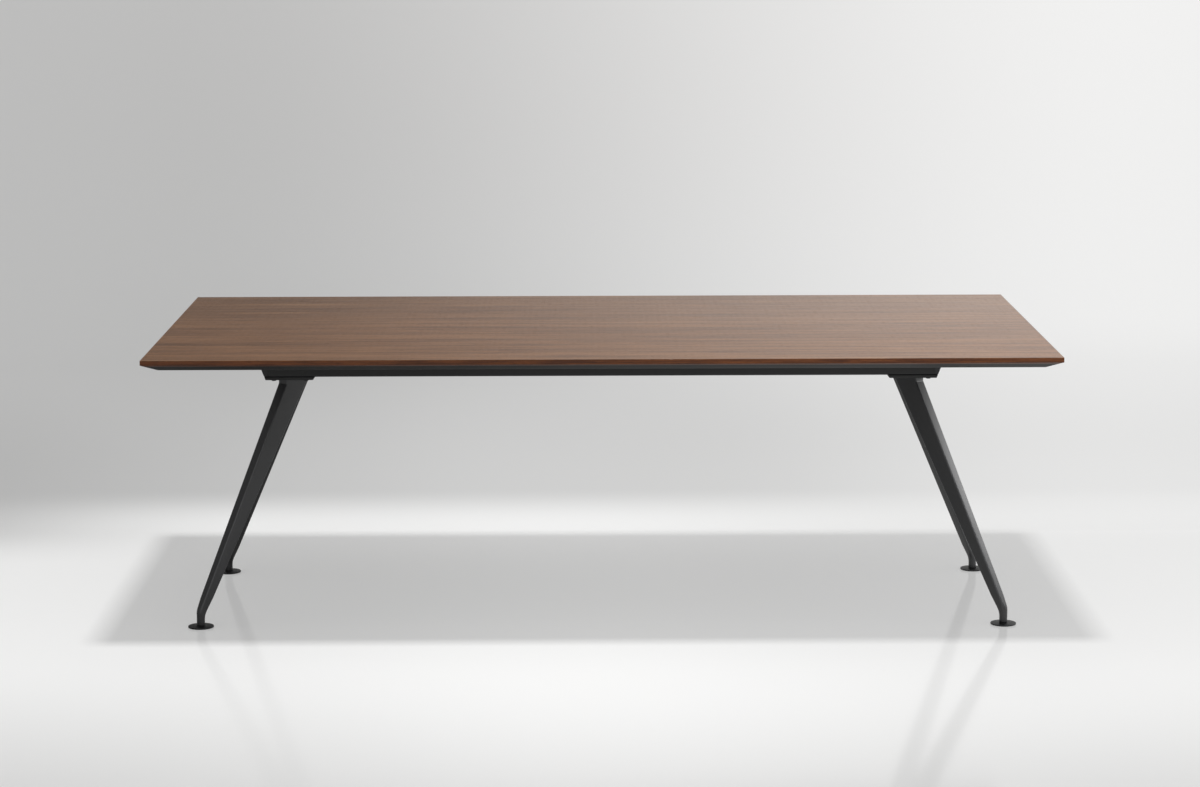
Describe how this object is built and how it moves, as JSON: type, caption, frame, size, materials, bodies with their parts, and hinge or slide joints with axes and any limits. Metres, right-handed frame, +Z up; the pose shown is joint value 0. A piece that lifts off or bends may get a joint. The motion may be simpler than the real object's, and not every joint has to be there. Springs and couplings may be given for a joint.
{
  "type": "conference table",
  "caption": "Rectangular conference table: bevelled walnut top on black steel rails, splayed tapered cast legs and levelling disc feet.",
  "frame": {"origin": "on the floor under the middle of the top", "axes": "+X along the table's length, +Y from the front to the back, +Z up"},
  "size_m": [2.3, 1.2, 0.745],
  "materials": {
    "walnut_veneer": "satin",
    "walnut_lipping": "satin",
    "black_board": "satin",
    "black_backer": "matte",
    "black_steel": "satin",
    "black_casting": "satin black powder coat",
    "black_bolt": "satin",
    "black_plastic": "matte",
    "zinc_steel": "satin",
    "foot_disc": "satin black powder coat",
    "foot_sole": "matte"
  },
  "bodies": {
    "table": {"top_veneer": "walnut_veneer", "top_core": "black_board", "top_backer": "black_backer", "lipping_front": "walnut_lipping", "lipping_right": "walnut_lipping", "lipping_back": "walnut_lipping", "lipping_left": "walnut_lipping", "bearer_left": "black_steel", "top_screw_left_front": "zinc_steel", "top_screw_left_back": "zinc_steel", "bearer_middle": "black_steel", "top_screw_middle_front": "zinc_steel", "top_screw_middle_back": "zinc_steel", "bearer_right": "black_steel", "top_screw_right_front": "zinc_steel", "top_screw_right_back": "zinc_steel", "rail_front": "black_steel", "rail_cap_front_left": "black_plastic", "nut_bar_front_left": "zinc_steel", "rail_bolt_front_left_outer": "black_bolt", "rail_bolt_front_left_inner": "black_bolt", "rail_cap_front_right": "black_plastic", "nut_bar_front_right": "zinc_steel", "rail_bolt_front_right_outer": "black_bolt", "rail_bolt_front_right_inner": "black_bolt", "rail_back": "black_steel", "rail_cap_back_left": "black_plastic", "nut_bar_back_left": "zinc_steel", "rail_bolt_back_left_outer": "black_bolt", "rail_bolt_back_left_inner": "black_bolt", "rail_cap_back_right": "black_plastic", "nut_bar_back_right": "zinc_steel", "rail_bolt_back_right_outer": "black_bolt", "rail_bolt_back_right_inner": "black_bolt", "end_plate_left": "black_steel", "end_plate_right": "black_steel", "leg_front_left": "black_casting", "leg_screw_front_left_outer": "zinc_steel", "leg_screw_front_left_inner": "zinc_steel", "leg_back_left": "black_casting", "leg_screw_back_left_outer": "zinc_steel", "leg_screw_back_left_inner": "zinc_steel", "leg_front_right": "black_casting", "leg_screw_front_right_outer": "zinc_steel", "leg_screw_front_right_inner": "zinc_steel", "leg_back_right": "black_casting", "leg_screw_back_right_outer": "zinc_steel", "leg_screw_back_right_inner": "zinc_steel"},
    "foot_front_left": {"foot_disc_front_left": "foot_disc", "foot_sole_front_left": "foot_sole"},
    "stem_front_left": {"foot_stem_front_left": "zinc_steel"},
    "foot_back_left": {"foot_disc_back_left": "foot_disc", "foot_sole_back_left": "foot_sole"},
    "stem_back_left": {"foot_stem_back_left": "zinc_steel"},
    "foot_front_right": {"foot_disc_front_right": "foot_disc", "foot_sole_front_right": "foot_sole"},
    "stem_front_right": {"foot_stem_front_right": "zinc_steel"},
    "foot_back_right": {"foot_disc_back_right": "foot_disc", "foot_sole_back_right": "foot_sole"},
    "stem_back_right": {"foot_stem_back_right": "zinc_steel"}
  },
  "joints": [
    {"name": "foot_travel_front_left", "type": "slide", "parent": "table", "child": "foot_front_left", "axis": [0, 0, -1], "range_m": [0, 0.012]},
    {"name": "stem_turn_front_left", "type": "hinge", "parent": "foot_front_left", "child": "stem_front_left", "pos_m": [-1.04693, -0.32893, 0.006], "axis": [0, 0, -1], "range_deg": [0, 2880]},
    {"name": "foot_travel_back_left", "type": "slide", "parent": "table", "child": "foot_back_left", "axis": [0, 0, -1], "range_m": [0, 0.012]},
    {"name": "stem_turn_back_left", "type": "hinge", "parent": "foot_back_left", "child": "stem_back_left", "pos_m": [-1.04693, 0.32893, 0.006], "axis": [0, 0, -1], "range_deg": [0, 2880]},
    {"name": "foot_travel_front_right", "type": "slide", "parent": "table", "child": "foot_front_right", "axis": [0, 0, -1], "range_m": [0, 0.012]},
    {"name": "stem_turn_front_right", "type": "hinge", "parent": "foot_front_right", "child": "stem_front_right", "pos_m": [1.04693, -0.32893, 0.006], "axis": [0, 0, -1], "range_deg": [0, 2880]},
    {"name": "foot_travel_back_right", "type": "slide", "parent": "table", "child": "foot_back_right", "axis": [0, 0, -1], "range_m": [0, 0.012]},
    {"name": "stem_turn_back_right", "type": "hinge", "parent": "foot_back_right", "child": "stem_back_right", "pos_m": [1.04693, 0.32893, 0.006], "axis": [0, 0, -1], "range_deg": [0, 2880]}
  ],
  "couplings": [
    {"joint": "stem_turn_front_left", "follows": "foot_travel_front_left", "rad_per_m": 4188.8},
    {"joint": "stem_turn_back_left", "follows": "foot_travel_back_left", "rad_per_m": 4188.8},
    {"joint": "stem_turn_front_right", "follows": "foot_travel_front_right", "rad_per_m": 4188.8},
    {"joint": "stem_turn_back_right", "follows": "foot_travel_back_right", "rad_per_m": 4188.8}
  ]
}
